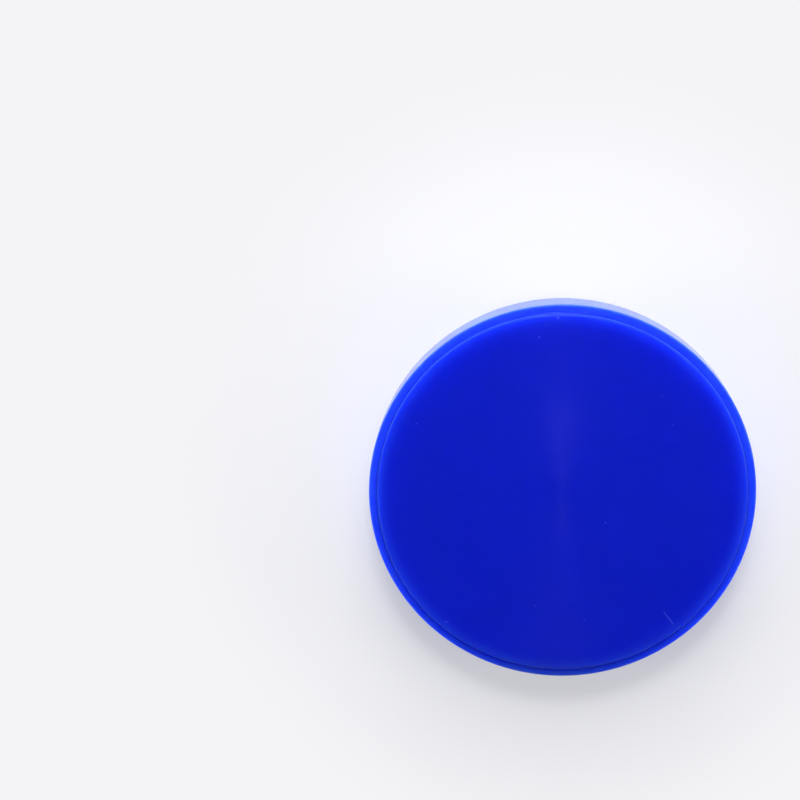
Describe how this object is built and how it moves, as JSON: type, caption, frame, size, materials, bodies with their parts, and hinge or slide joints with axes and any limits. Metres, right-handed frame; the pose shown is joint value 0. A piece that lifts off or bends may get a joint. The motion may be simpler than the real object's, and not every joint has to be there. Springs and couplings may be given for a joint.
{
  "type": "dental milling disc",
  "caption": "Solid blue wax disc for a dental mill, with a thick clamping rim, two narrow shoulders and a slightly raised round face on each side.",
  "frame": {"origin": "centre of the rear face, which the disc lies on", "axes": "+Z along the disc's axis, out of its front face; the disc is round, so +X and +Y are free: +Y points at the side of the rim that the picture shows, +X to the picture's right"},
  "size_m": [0.0984, 0.0984, 0.012],
  "materials": {
    "wax": "satin turned wax, slightly translucent, royal blue"
  },
  "bodies": {
    "root": {"milling_disc": "wax"}
  },
  "joints": []
}
